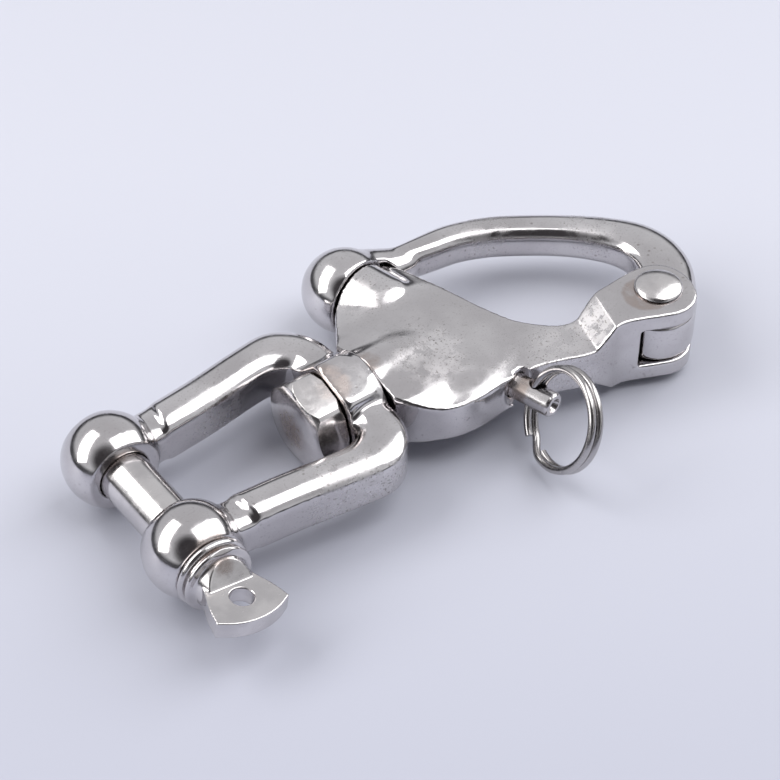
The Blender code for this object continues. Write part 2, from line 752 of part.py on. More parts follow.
def make_jaw():
    bars = round_rims(outline("jaw", jaw_outline(), LEG_HALF), LEG_ROUND)
    jaw = join(bars, ball_eye("far_eye", 1), ball_eye("near_eye", -1), make_hub())
    pin_hole = rod("pin_hole", mid - y_dir * FAR, y_dir, 2 * FAR, JAW_PIN_R + RUN_GAP)
    bolt_start = Vector((CROTCH_X - PAST, 0.0, MID_Z))
    bolt_hole = rod("hub_hole", bolt_start, x_dir, CROSSBAR + 2 * PAST, BOLT_R + RUN_GAP)
    jaw = cut(jaw, pin_hole, bolt_hole)
    return finish(jaw, "jaw", cast_steel, mid)


# ---- the jaw pin -----------------------------------------------------------------------------------
def make_pin():
    """The pin points to +Y, so that its wing is on the -Y side."""
    seat = EYE_Y + EYE_TO_OUTER + COLLAR_GAP
    tip_y = EYE_Y + EYE_TO_OUTER - PIN_SHORT
    front = seat + COLLAR_L
    wing_root = front + NECK_L
    profile = [
        (0.0, tip_y),
        (JAW_PIN_R - 0.8 * MM, tip_y),
        (JAW_PIN_R, tip_y - 0.8 * MM),
        (JAW_PIN_R, -seat),
        (COLLAR_R - 0.4 * MM, -seat),
        (COLLAR_R, -seat - 0.45 * MM),
        (COLLAR_R - 0.25 * MM, -seat - 1.15 * MM),
        (COLLAR_2_R - 0.5 * MM, -seat - 1.45 * MM),
        (COLLAR_2_R, -seat - 1.8 * MM),
        (COLLAR_2_R - 0.1 * MM, -front + 0.3 * MM),
        (COLLAR_2_R - 0.6 * MM, -front),
        (NECK_R, -front - 0.05 * MM),
        (NECK_R - 0.7 * MM, -wing_root),
        (NECK_R - 1.9 * MM, -wing_root - 1.6 * MM),
        (0.0, -wing_root - 1.7 * MM),
    ]
    pin = turned("jaw_pin", profile, mid, y_dir)
    slope = NECK_R - WING_HALF
    for side in (1, -1):
        foot = Vector((0.0, -front - RAMP_SKIN, MID_Z + side * NECK_R))
        away = Vector((0.0, -slope, side * NECK_L)).normalized()
        pin = cut(pin, cone("ramp", foot, away, FAR, COLLAR_R * 2, COLLAR_R * 2, 4))
    blade = outline("blade", wing_outline(front, wing_root), WING_HALF, 6)
    pin = join(pin, blade)
    hole_start = Vector((0.0, -wing_root - WING_HOLE_FROM_ROOT, -FAR))
    pin = cut(pin, rod("wing_hole", hole_start, up_dir, 2 * FAR, WING_HOLE_R, 24))
    turn = Matrix.Rotation(PIN_TURN, 4, "Y")
    pin.data.transform(Matrix.Translation(mid) @ turn @ Matrix.Translation(-mid))
    return finish(pin, "jaw_pin", bright_steel, mid)


def wing_outline(front, root):
    """The fan-shaped blade, which starts inside the neck."""
    start = -front - 1.2 * MM
    corner = -root - WING_L
    waist = WING_ROOT + (WING_TIP - WING_ROOT) * 0.42
    arc = WING_TIP * 0.52
    shallow = corner - WING_BULGE * 0.74
    one_side = [
        (WING_ROOT, start, "corner"),
        (WING_ROOT, -root),
        (waist, (corner - root) / 2),
        (WING_TIP, corner, "corner"),
        (arc, shallow),
    ]
    other_side = [(-point[0], point[1], *point[2:]) for point in reversed(one_side)]
    return one_side + [(0.0, corner - WING_BULGE)] + other_side


def stand_on_origin():
    """Moves the whole shackle so that the middle of its footprint is the origin and it lies on Z = 0."""
    bpy.context.view_layer.update()
    graph = bpy.context.evaluated_depsgraph_get()
    low = Vector((math.inf,) * 3)
    high = Vector((-math.inf,) * 3)
    for obj in parts.objects:
        if obj.type != "MESH":
            continue
        for vertex in obj.evaluated_get(graph).data.vertices:
            spot = obj.matrix_world @ vertex.co
            for i in range(3):
                low[i] = min(low[i], spot[i])
                high[i] = max(high[i], spot[i])
    middle = (low + high) / 2
    shackle.location = (-middle.x, -middle.y, -low.z)
    print("size mm", [round(v / MM, 3) for v in high - low])
    print("shift mm", [round(v / MM, 4) for v in shackle.location])


clear_scene()
cutters = new_collection("construction")
parts = new_collection("snap_shackle")
shackle = bpy.data.objects.new("shackle", None)
parts.objects.link(shackle)

cast_steel = steel("cast_steel", (0.62, 0.60, 0.60), 0.24)
bright_steel = steel("bright_steel", (0.66, 0.64, 0.64), 0.18)
wire_steel = steel("wire_steel", (0.56, 0.52, 0.51), 0.2)

make_body()
make_bow()
make_rivet()
make_plunger()
make_spring()
make_ring()
make_bolt()
make_jaw()
make_pin()
stand_on_origin()
print("rivet mm", [round(v / MM, 4) for v in rivet_at + mid])
print("ring pivot mm", [round(v / MM, 4) for v in ring_pivot()], "axis", [round(v, 5) for v in ring_axis()])
print("pull", [round(v, 5) for v in pull_dir])
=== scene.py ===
# %% [markdown]
# # A snap shackle with a swivelling jaw
# The shackle lies flat on a table. A hinged bow is held shut by a sprung plunger, and a forked jaw turns
# on a bolt at the other end. Nearly all of it is polished stainless steel, so its look comes from two
# things: smooth shapes with small soft edges, and a room that is worth reflecting.
#
# The frame holds the exact solids. We keep its places and sizes, and model finer pieces over them.

# %% Open the frame
import json
import math

import bmesh
import bpy
from mathutils import Matrix, Quaternion, Vector

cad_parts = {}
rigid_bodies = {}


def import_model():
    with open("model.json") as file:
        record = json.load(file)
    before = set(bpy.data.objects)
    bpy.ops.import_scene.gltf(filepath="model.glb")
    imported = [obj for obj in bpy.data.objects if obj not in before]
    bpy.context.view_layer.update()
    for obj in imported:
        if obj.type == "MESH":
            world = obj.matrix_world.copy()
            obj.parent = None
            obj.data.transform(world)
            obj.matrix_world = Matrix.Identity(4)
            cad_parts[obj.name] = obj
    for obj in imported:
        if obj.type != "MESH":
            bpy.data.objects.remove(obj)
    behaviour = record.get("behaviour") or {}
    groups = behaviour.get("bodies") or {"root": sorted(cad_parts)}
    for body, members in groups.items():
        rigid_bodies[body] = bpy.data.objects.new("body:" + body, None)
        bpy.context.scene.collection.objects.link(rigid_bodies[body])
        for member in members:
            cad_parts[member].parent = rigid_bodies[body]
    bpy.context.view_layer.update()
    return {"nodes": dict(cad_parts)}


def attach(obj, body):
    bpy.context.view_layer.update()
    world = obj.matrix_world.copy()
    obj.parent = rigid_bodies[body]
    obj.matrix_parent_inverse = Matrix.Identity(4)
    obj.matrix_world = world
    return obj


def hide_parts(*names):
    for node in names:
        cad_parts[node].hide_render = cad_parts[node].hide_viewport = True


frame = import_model()
bpy.ops.object.select_all(action="DESELECT")
MM = 0.001
CENTRE = Vector((-55.2857, 2.6565, 9.7)) * MM  # where the jaw pin's axis crosses the swivel's axis
print("pieces in the frame:", sorted(frame["nodes"]))

# %% [markdown]
# ## Places and small tools
# Every place below is given in millimetres from the point where the jaw pin crosses the swivel axis, with
# heights counted from the middle plane. One function turns such a place into a point in the scene.
# The other tools select one piece, apply a modifier to it, or move its place into its mesh, so that its
# object sits at the origin as the frame's own pieces do.


# %% Places and small tools
def at(x, y, z=0.0):
    return CENTRE + Vector((x, y, z)) * MM


def only(piece):
    bpy.ops.object.select_all(action="DESELECT")
    piece.select_set(True)
    bpy.context.view_layer.objects.active = piece
    return piece


def named(name):
    """Names the primitive just added and puts its place in its mesh."""
    piece = bpy.context.object
    piece.name = name
    bpy.ops.object.transform_apply(location=True, rotation=True, scale=True)
    return piece


def change(piece, kind, **settings):
    """Adds one modifier and applies it."""
    only(piece)
    modifier = piece.modifiers.new(kind.title(), kind)
    for name, value in settings.items():
        setattr(modifier, name, value)
    bpy.ops.object.modifier_apply(modifier=modifier.name)
    return piece


def boolean(piece, tool, operation):
    change(piece, "BOOLEAN", operation=operation, object=tool, solver="EXACT")
    bpy.data.objects.remove(tool)
    return piece


def cut(piece, *tools):
    for tool in tools:
        boolean(piece, tool, "DIFFERENCE")
    return piece


def fuse(piece, *others):
    """Puts several closed shapes into one mesh. A voxel remesh then makes one skin of them."""
    only(piece)
    for other in others:
        other.select_set(True)
    bpy.ops.object.join()
    return piece


def in_edit(piece, *steps):
    """Runs edit-mode steps on all of a piece."""
    only(piece)
    bpy.ops.object.mode_set(mode="EDIT")
    bpy.ops.mesh.select_all(action="SELECT")
    for step in steps:
        step()
    bpy.ops.object.mode_set(mode="OBJECT")
    return piece


def face_out(piece):
    return in_edit(
        piece,
        lambda: bpy.ops.mesh.remove_doubles(threshold=0.002 * MM),
        lambda: bpy.ops.mesh.normals_make_consistent(inside=False),
    )


# %% [markdown]
# ## Basic shapes
# Round parts are rods, balls and turned shapes. A turned shape is drawn as half of its outline, one vertex
# extruded after another, and spun about its axis, as a lathe makes it. Flat parts start as a smooth closed
# curve that is filled and extruded. The axis helper stands a shape's own Z along any direction.


# %% Basic shapes
LATCH_TURN = math.radians(-76)
PULL = Vector((math.cos(LATCH_TURN), math.sin(LATCH_TURN), 0.0))
SIDE = Vector((-PULL.y, PULL.x, 0.0))
X, Y, Z = Vector((1, 0, 0)), Vector((0, 1, 0)), Vector((0, 0, 1))


def stand(axis, across=None):
    """The rotation that takes Z to the axis, and X towards across."""
    axis = Vector(axis).normalized()
    across = Vector(across) if across is not None else axis.orthogonal()
    across = (across - across.dot(axis) * axis).normalized()
    return Matrix((across, axis.cross(across), axis)).transposed()


def rod(name, start, axis, length, radius, sides=96, end_radius=None, across=None):
    middle = start + Vector(axis).normalized() * length * MM / 2
    turn = stand(axis, across).to_euler()
    end = radius if end_radius is None else end_radius
    bpy.ops.mesh.primitive_cone_add(
        vertices=sides, radius1=radius * MM, radius2=end * MM, depth=length * MM, location=middle, rotation=turn
    )
    return named(name)


def ball(name, centre, radius, stretch=(1, 1, 1)):
    bpy.ops.mesh.primitive_uv_sphere_add(
        segments=96, ring_count=48, radius=radius * MM, location=centre, scale=stretch
    )
    return named(name)


def block(name, low, high):
    bpy.ops.mesh.primitive_cube_add(size=1, location=(low + high) / 2, scale=high - low)
    return named(name)


def lathe(name, profile, centre, axis, sides=96, across=None):
    """Spins an outline of (radius, height) pairs, in mm, that starts and ends on the axis."""
    turn = stand(axis, across)
    bpy.ops.mesh.primitive_plane_add(size=MM, location=centre)
    piece = named(name)
    spots = [centre + turn @ (Vector((radius, 0.0, height)) * MM) for radius, height in profile]
    only(piece)
    bpy.ops.object.mode_set(mode="EDIT")
    bpy.ops.mesh.select_all(action="SELECT")
    bpy.ops.mesh.merge(type="CENTER")
    bpy.ops.transform.translate(value=spots[0] - centre)
    for here, there in zip(spots, spots[1:]):
        bpy.ops.mesh.extrude_region_move(TRANSFORM_OT_translate={"value": there - here})
    bpy.ops.mesh.select_all(action="SELECT")
    bpy.ops.mesh.spin(steps=sides, angle=2 * math.pi, center=centre, axis=turn @ Z)
    bpy.ops.object.mode_set(mode="OBJECT")
    return face_out(piece)


def smooth_curve(name, points, height):
    """A closed Bezier curve through places in mm. A third entry in a place makes a sharp corner."""
    bpy.ops.curve.primitive_bezier_circle_add(location=(0, 0, CENTRE.z + height * MM))
    curve = bpy.context.object
    curve.name = name
    line = curve.data.splines[0]
    line.bezier_points.add(len(points) - len(line.bezier_points))
    for knot, point in zip(line.bezier_points, points):
        knot.handle_left_type = knot.handle_right_type = "VECTOR" if len(point) == 3 else "AUTO"
        knot.co = (*at(*point[:2]).xy, 0.0)
    curve.data.resolution_u = 8
    only(curve)
    bpy.ops.object.convert(target="MESH")
    return named(name)


def plate(name, points, half):
    """A smooth outline, filled and extruded to both sides of the middle plane."""
    return in_edit(
        smooth_curve(name, points, -half),
        lambda: bpy.ops.mesh.remove_doubles(threshold=0.01 * MM),
        lambda: bpy.ops.mesh.edge_face_add(),
        lambda: bpy.ops.mesh.extrude_region_move(TRANSFORM_OT_translate={"value": (0, 0, 2 * half * MM)}),
        lambda: bpy.ops.mesh.select_all(action="SELECT"),
        lambda: bpy.ops.mesh.normals_make_consistent(inside=False),
    )


# %% [markdown]
# ## Bars between two rails
# The bow and the jaw's legs are bent bars whose width changes along the way. Each is given by two rails, its
# inner and its outer edge in plan, with as many places on one as on the other. A section is fitted between
# the rails at the first places, and then extruded and fitted again and again along them. This keeps the
# faces long and even, which a polished surface needs: an uneven mesh shows at once in its reflections.


# %% Bars between two rails
def smooth_rail(places, steps):
    """Places in mm, with a smooth curve's points put in between them."""
    points = [Vector(place) for place in places]
    ends = [2 * points[0] - points[1]] + points + [2 * points[-1] - points[-2]]
    rail = []
    for before, start, end, after in zip(ends, ends[1:], ends[2:], ends[3:]):
        for i in range(steps):
            t = i / steps
            pull_in, pull_out = (end - before) / 2, (after - start) / 2
            rail.append(
                (2 * t**3 - 3 * t**2 + 1) * start
                + (t**3 - 2 * t**2 + t) * pull_in
                + (3 * t**2 - 2 * t**3) * end
                + (t**3 - t**2) * pull_out
            )
    return rail + [points[-1]]


def bar(name, inner, outer, section, steps=4):
    """Extrudes a section along two rails. section(width) gives (mm from the inner rail, height) pairs."""

    def fitted(near, far):
        width = (far - near).length
        along = (far - near) / width
        return [at(*(near + along * out), height) for out, height in section(width)]

    stations = [fitted(a, b) for a, b in zip(smooth_rail(inner, steps), smooth_rail(outer, steps))]
    bpy.ops.mesh.primitive_circle_add(vertices=len(stations[0]), radius=MM, fill_type="NGON")
    piece = named(name)
    only(piece)
    bpy.ops.object.mode_set(mode="EDIT")
    mesh = bmesh.from_edit_mesh(piece.data)
    ring = list(mesh.verts)
    for i, station in enumerate(stations):
        if i:
            bpy.ops.mesh.extrude_region_move()
            mesh = bmesh.from_edit_mesh(piece.data)
            moved = [vertex for vertex in mesh.verts if vertex.select]
            ring = [min(moved, key=lambda v: (v.co - old).length) for old in stations[i - 1]]
        for vertex, spot in zip(ring, station):
            vertex.co = spot
        bmesh.update_edit_mesh(piece.data)
    bpy.ops.object.mode_set(mode="OBJECT")
    return face_out(piece)


# %% [markdown]
# ## Cast skin
# A casting has no hard corner: where two shapes meet, there is a fillet, and polishing rounds every edge a
# little more. A voxel remesh turns overlapping shapes into one skin of small even faces, and a Smooth
# modifier then rounds what is sharp. A first coarse pass gives wide fillets. Machined slots, faces and bores
# are cut after it, and a second, finer pass only softens their edges.

# %% Cast skin
FINE = 0.28  # the size of the last pass's faces, in mm


def skin(piece, voxel, rounds):
    change(piece, "REMESH", mode="VOXEL", voxel_size=voxel * MM, adaptivity=0)
    change(piece, "SMOOTH", factor=0.5, iterations=rounds)
    return piece


def done(piece, body, slot, *stands_for, sharp=180):
    """Shades a finished piece smooth, lets it ride on its body and hides what it stands for."""
    only(piece)
    bpy.ops.object.shade_smooth_by_angle(angle=math.radians(sharp))
    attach(piece, body)
    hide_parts(*stands_for)
    piece.select_set(False)
    size = [round(v / MM, 1) for v in piece.dimensions]
    print(f"{piece.name}: {len(piece.data.polygons)} faces, {size} mm")
    return piece


# %% [markdown]
# ## The body
# The body is a flat casting that swells over the swivel bolt and over the latch, with a ramp up to a fork
# that holds the bow's rivet. Its rim is nearly upright all round. Modelling such a skin face by face is slow,
# so the swelling is made first, as a mass of a plate, three flattened balls and two tapered bosses that is
# remeshed and smoothed. The fork's block joins it, and the plan of the body, like a pastry cutter, trims it.

# %% The mass of the body
RIVET = at(102.0, -17.0)
SOCKET = at(60.5, 21.2)
LATCH_LENGTH = 39.0
BODY_END = 46.3
FORK_HALF = 7.9
WAIST_HALF = 3.85
FORK_PLACE = at(85.45, -15)
SLOT_HALF = 4.4
BOLT_BORE = 5.0
RIVET_BORE = 3.15


def wedge_plate(name, heights, place, turn=0.0):
    """A wide block whose upper and lower sides follow (x, half height) pairs in mm."""
    bpy.ops.mesh.primitive_circle_add(vertices=2 * len(heights), radius=MM, fill_type="NGON")
    piece = named(name)
    loop = heights + [(x, -half) for x, half in reversed(heights)]
    for vertex, (x, z) in zip(piece.data.vertices, loop):
        vertex.co = Vector((x, -45.0, z)) * MM
    in_edit(
        piece,
        lambda: bpy.ops.mesh.extrude_region_move(TRANSFORM_OT_translate={"value": (0, 90 * MM, 0)}),
        lambda: bpy.ops.mesh.select_all(action="SELECT"),
        lambda: bpy.ops.mesh.normals_make_consistent(inside=False),
    )
    piece.data.transform(Matrix.Translation(place) @ Matrix.Rotation(turn, 4, "Z"))
    return piece


def tapered_boss(name, start, axis, radius, length, taper):
    profile = [
        (0, length + taper),
        (1.2, length + taper),
        (radius * 0.62, length + taper * 0.66),
        (radius * 0.9, length + taper * 0.28),
        (radius, length),
        (radius, 0),
        (0, 0),
    ]
    return lathe(name, profile, start, axis, 64)


slab = wedge_plate("slab", [(38, 3.7), (62, 3.7), (70, 3.8), (78, 4.15), (126, 4.15)], at(0, 0))
pillow = ball("pillow", at(61, 1.0), 1.0, (22.0, 23.0, 6.3))
latch_pillow = ball("latch pillow", at(62, 15.5), 1.0, (12.5, 12.5, 5.2))
swivel_pillow = ball("swivel pillow", at(53, -1.0), 1.0, (17.0, 17.0, 6.9))
swivel_boss = tapered_boss("swivel boss", at(BODY_END - 4, 0), X, 7.7, 12, 16)
latch_boss = tapered_boss("latch boss", SOCKET - PULL * 4 * MM, PULL, 7.3, 12, 5)
body = fuse(slab, pillow, latch_pillow, swivel_pillow, swivel_boss, latch_boss)
skin(body, 0.8, 14)
print("mass of the body:", len(body.data.polygons), "faces")

# %% The plan of the body and its machined faces
BODY_PLAN = [
    (46.3, -9.2, "corner"),
    (48.4, -12.2),
    (50.9, -14.4),
    (54.6, -16.3),
    (59.6, -17.0),
    (66.0, -16.6),
    (72.5, -16.8),
    (77.8, -18.5),
    (82.5, -20.3),
    (86.8, -20.8),
    (90.5, -20.7),
    (94.0, -21.9),
    (97.8, -23.6),
    (101.5, -24.8),
    (105.2, -23.9),
    (107.8, -20.8),
    (108.5, -16.6),
    (107.6, -13.3),
    (105.2, -11.1),
    (102.2, -10.4),
    (96.0, -10.5),
    (90.6, -10.9),
    (84.6, -11.3),
    (80.5, -8.3),
    (76.6, -3.2),
    (73.8, 2.5),
    (72.2, 8.5),
    (71.0, 14.0),
    (70.0, 18.2),
    (67.8, 21.8),
    (65.0, 22.65),
    (60.3, 21.5),
    (56.5, 20.5),
    (52.6, 17.6),
    (49.0, 12.6),
    (46.3, 8.8, "corner"),
]
RAMP = [(0, WAIST_HALF), (4.75, FORK_HALF), (45, FORK_HALF)]
boolean(body, wedge_plate("fork block", RAMP, FORK_PLACE, math.radians(-16)), "UNION")
boolean(body, plate("plan", BODY_PLAN, 12), "INTERSECT")
slot_round = rod("slot round", RIVET - Z * SLOT_HALF * MM, Z, 2 * SLOT_HALF, 9.2)
slot_room = block("slot", RIVET - Vector((7.9, 30, SLOT_HALF)) * MM, RIVET + Vector((30, 30, SLOT_HALF)) * MM)
beyond = rod("beyond the socket", SOCKET, -PULL, 20, 9.4)
bolt_bore = rod("bolt bore", at(BODY_END - 3, 0), X, 16, BOLT_BORE)
spring_bore = rod("spring bore", SOCKET - PULL * 3 * MM, PULL, 29, 3.4)
guide = rod("guide", SOCKET + PULL * 20 * MM, PULL, 40, 2.6)
recess = rod("recess", SOCKET + PULL * (LATCH_LENGTH - 1.3) * MM, PULL, 12, 4.0)
rivet_bore = rod("rivet bore", RIVET - Z * 20 * MM, Z, 40, RIVET_BORE)
cut(body, slot_round, slot_room, beyond, bolt_bore, spring_bore, guide, recess, rivet_bore)
skin(body, FINE, 10)
body.name = "body_casting"
done(body, "body", "cast_steel", "snap_body")

# %% [markdown]
# ## The bow
# The bow is forged from one bar. It starts in a ball at the latch, has a slim neck, grows wider to its crown
# and ends in a flat eye in the fork. In section it is like a letter D: an upright inner face with a small
# edge radius, and a long round back. The two rails follow its inner and outer edges. Two cones at the neck
# fill the corner beside the ball, and after the skin is made, the ball is cut back to a seat for the latch.


# %% The bow
def bow_section(width):
    """From the inner face's foot, up over the back and down again, as (mm from the inner rail, height)."""
    half = 3.85
    upper = [(0.0, 0.0), (0.0, 0.9), (0.05, 1.6), (0.35, 2.5), (0.95, 3.2), (1.7, 3.63), (2.4, 3.8)]
    crown = 3.0
    back = width - crown
    for i in range(9):
        angle = math.radians(i * 10)
        upper.append((crown + back * math.sin(angle) ** 0.86, half * math.cos(angle) ** 0.86))
    lower = [(out, -height) for out, height in reversed(upper[1:])]
    return upper + [(width, 0.0)] + lower


BOW_INNER = [
    (62.5, 23.8),
    (66.5, 23.9),
    (71.5, 22.0),
    (78.5, 20.6),
    (84.2, 19.7),
    (89.8, 17.4),
    (94.2, 14.6),
    (98.5, 11.5),
    (102.5, 8.0),
    (105.6, 4.3),
    (107.2, 1.6),
    (107.9, -0.9),
    (107.9, -3.4),
    (107.0, -6.0),
    (105.2, -8.2),
    (103.2, -10.6),
    (101.5, -13.0),
    (100.5, -16.0),
]
BOW_OUTER = [
    (64.5, 28.2),
    (68.0, 27.3),
    (72.0, 26.9),
    (78.5, 27.2),
    (84.5, 26.9),
    (91.1, 24.9),
    (95.9, 22.6),
    (100.7, 19.4),
    (105.3, 16.1),
    (110.2, 12.2),
    (114.3, 8.2),
    (117.6, 3.9),
    (119.1, -1.0),
    (118.9, -5.9),
    (117.2, -10.9),
    (114.1, -15.4),
    (110.4, -19.6),
    (106.0, -22.4),
]
EYE_HALF = 4.15
NECK_WAY = Vector((12.5, -1.3, 0))
bow = bar("bow", BOW_INNER, BOW_OUTER, bow_section)
tip = ball("tip", SOCKET - PULL * 3.5 * MM, 8.4)
neck = rod("neck", at(61.5, 25.0), NECK_WAY, 13.5, 7.3, 64, 3.0)
flare = rod("flare", at(64.13, 24.13), NECK_WAY, 5.3, 7.0, 64, 3.8)
eye = rod("eye", RIVET - Z * EYE_HALF * MM, Z, 2 * EYE_HALF, 7.5)
fuse(bow, tip, neck, flare, eye)
skin(bow, 0.4, 22)
CLEARANCE = [(-9.4, -0.3), (6.0, -0.3), (7.7, 0.4), (8.5, 2.2), (8.9, 5.0), (8.9, 12.0), (-9.4, 12.0)]
seat = []
for side, along in CLEARANCE:
    spot = (SOCKET - CENTRE) / MM + SIDE * side + PULL * along
    seat.append((spot.x, spot.y, "corner"))
face = plate("mating face", seat, 12)
nose_bore = rod("nose bore", SOCKET + PULL * 3 * MM, -PULL, 7.4, 2.8)
eye_bore = rod("eye bore", RIVET - Z * 20 * MM, Z, 40, RIVET_BORE)
above = block("above the eye", RIVET + Vector((-9, -9, EYE_HALF)) * MM, RIVET + Vector((5, 6, 9)) * MM)
below = block("below the eye", RIVET + Vector((-9, -9, -9)) * MM, RIVET + Vector((5, 6, -EYE_HALF)) * MM)
cut(bow, face, nose_bore, eye_bore, above, below)
skin(bow, FINE, 4)
bow.name = "bow_forging"
done(bow, "bow", "cast_steel", "bow")

# %% [markdown]
# ## The jaw
# The jaw is a U of bar stock with upright sides and a crowned top and bottom. Each leg ends in a ball that
# carries the pin, and the crossbar carries a hub for the swivel bolt, a hexagon whose corners are turned
# round. The two legs are alike. A mirrored copy would need its normals turned back, so the same bar is
# extruded a second time along rails on the other side.


# %% The jaw
def leg_section(width, side=3.3, crown=5.3):
    upper = [(0.0, 0.0), (0.0, 1.6), (0.0, side)]
    for i in range(1, 12):
        share = i / 12
        upper.append((width * share, side + (crown - side) * (1 - (2 * share - 1) ** 2) ** 0.8))
    upper += [(width, side), (width, 1.6), (width, 0.0)]
    lower = [(out, -height) for out, height in reversed(upper[1:-1])]
    return upper + lower


def neck_section(width):
    return leg_section(width, 2.9, 4.3)


def other_side(rail):
    return [(x, -y) for x, y in rail]


LEG_INNER = [
    (10.2, 9.5),
    (13, 9.7),
    (20, 10.35),
    (28, 11.5),
    (32.6, 12.0),
    (35.3, 11.5),
    (37.0, 10.1),
    (37.3, 7),
    (37.3, 0),
]
LEG_OUTER = [
    (11.2, 17.7),
    (14, 18.0),
    (21, 18.75),
    (31, 20.3),
    (38, 20.8),
    (42.6, 18.1),
    (45.2, 13.9),
    (46.0, 8.5),
    (46.0, 0),
]
NECK_INNER, NECK_OUTER = [(2, 9.1), (14, 9.8)], [(2, 16.9), (14, 18.0)]
jaw = bar("jaw", LEG_INNER, LEG_OUTER, leg_section)
near_leg = bar("near leg", other_side(LEG_INNER), other_side(LEG_OUTER), leg_section)
hub_corner = Matrix.Rotation(math.radians(45), 3, "X") @ Y
hub = rod("hub", at(37.3, 0), X, 8.7, 17.4 / math.sqrt(3), 6, across=hub_corner)
HUB_PROFILE = [(0, 12), (8.6, 12), (8.9, 7.5), (9.8, 5.1), (9.8, 1.2), (8.2, -3), (0, -3)]
hub_turned = lathe("hub turned", HUB_PROFILE, at(37.3, 0), X)
boolean(hub, hub_turned, "INTERSECT")
far_ball = ball("far ball", at(0, 13.25), 8.77)
near_ball = ball("near ball", at(0, -13.25), 8.77)
far_neck = bar("far neck", NECK_INNER, NECK_OUTER, neck_section)
near_neck = bar("near neck", other_side(NECK_INNER), other_side(NECK_OUTER), neck_section)
fuse(jaw, near_leg, hub, far_ball, near_ball, far_neck, near_neck)
skin(jaw, 0.4, 8)
inside = block("between the eyes", at(-12, -8.1, -12), at(7.5, 8.1, 12))
far_side = block("far side", at(-12, 18.75, -12), at(7.0, 25, 12))
near_side = block("near side", at(-12, -25, -12), at(7.0, -18.75, 12))
pin_bore = rod("pin bore", at(0, -30), Y, 60, 5.0)
hub_bore = rod("hub bore", at(34, 0), X, 16, BOLT_BORE)
hub_back = block("hub back", at(46.0, -12, -12), at(50, 12, 12))
cut(jaw, inside, far_side, near_side, pin_bore, hub_bore, hub_back)
skin(jaw, FINE, 3)
jaw.name = "jaw_casting"
done(jaw, "jaw", "cast_steel", "jaw")

# %% [markdown]
# ## The swivel bolt
# The bolt's head is a hexagon with its corners chamfered on a lathe. A hexagonal rod and a turned blank
# share one volume, and a small bevel then breaks the machined edges, so that they catch the light.

# %% The swivel bolt
HEAD_X = 30.0
head = rod("bolt", at(HEAD_X - 3, 0), X, 10, 15.6 / math.sqrt(3), 6, across=hub_corner)
blank = [(0, 7), (8.1, 7), (8.8, 6.2), (8.8, 1.9), (8.2, 1.1), (7.2, 0.5), (5.4, 0.05), (0, -0.3)]
boolean(head, lathe("head blank", blank, at(HEAD_X, 0), X), "INTERSECT")
shank = lathe("shank", [(0, 29), (4.0, 29), (4.85, 28.2), (4.85, 6.5), (0, 6.5)], at(HEAD_X, 0), X, 64)
boolean(head, shank, "UNION")
change(head, "BEVEL", width=0.22 * MM, segments=3, limit_method="ANGLE", angle_limit=math.radians(22))
head.name = "swivel_bolt_turned"
done(head, "body", "bright_steel", "swivel_bolt", sharp=40)

# %% [markdown]
# ## The jaw pin
# The pin is turned: a shank, a thread at its far end, two collars and a neck. Its wing is a flat blade with
# a hole, which two ramps lead down to. Two cones cut the ramps out of the turned blank. The pin stopped
# turning a little past level, so the finished piece is turned with it. The thread is drawn as rings, because
# at this size the slope of a real thread can't be seen.

# %% The jaw pin
THREAD_PITCH = 1.5
PIN_END = [(0, 18.4), (3.9, 18.4), (4.4, 17.9)]
THREAD = []
for i in range(6):
    down = THREAD_PITCH * i
    THREAD += [(4.82, 17.4 - down), (4.82, 17.1 - down), (4.25, 16.6 - down), (4.25, 16.4 - down)]
SHANK = [(4.85, 8.6), (4.85, -18.9)]
LARGE_COLLAR = [(6.4, -18.9), (6.95, -19.35), (7.0, -19.8), (6.7, -20.3), (5.7, -20.55)]
SMALL_COLLAR = [(5.7, -20.85), (6.5, -21.05), (6.7, -21.4), (6.5, -21.85), (5.5, -22.1)]
PIN_NECK = [(5.2, -22.4), (4.7, -24.8), (3.5, -26.2), (0, -26.3)]
PIN_PROFILE = PIN_END + THREAD + SHANK + LARGE_COLLAR + SMALL_COLLAR + PIN_NECK
pin = lathe("pin", PIN_PROFILE, at(0, 0), Y, 72)
for side in (1, -1):
    away = Vector((0, -3.9, side * 2.9)).normalized()
    cut(pin, rod("ramp", at(0, -22.2, side * 5.6), away, 20, 16, 4))
WING = [
    (4.6, -22.9, "corner"),
    (5.1, -24.6),
    (6.4, -28.0),
    (7.25, -31.7, "corner"),
    (3.8, -33.4),
    (0.0, -34.0),
    (-3.8, -33.4),
    (-7.25, -31.7, "corner"),
    (-6.4, -28.0),
    (-5.1, -24.6),
    (-4.6, -22.9, "corner"),
]
boolean(pin, plate("wing", WING, 1.65), "UNION")
cut(pin, rod("wing hole", at(0, -28.3, -10), Z, 20, 2.15, 48))
skin(pin, 0.17, 2)
turn = Matrix.Translation(CENTRE) @ Matrix.Rotation(math.radians(10), 4, "Y") @ Matrix.Translation(-CENTRE)
pin.data.transform(turn)
pin.name = "jaw_pin_turned"
done(pin, "pin", "bright_steel", "jaw_pin")

# %% [markdown]
# ## The rivet, the plunger and the split ring
# The rivet's two heads are domed. The plunger's tail stands out of the body with a crossways hole for the
# ring, and its end is dished. The split ring is two turns of wire side by side: a curve with a round
# section, which steps over from one turn to the other.

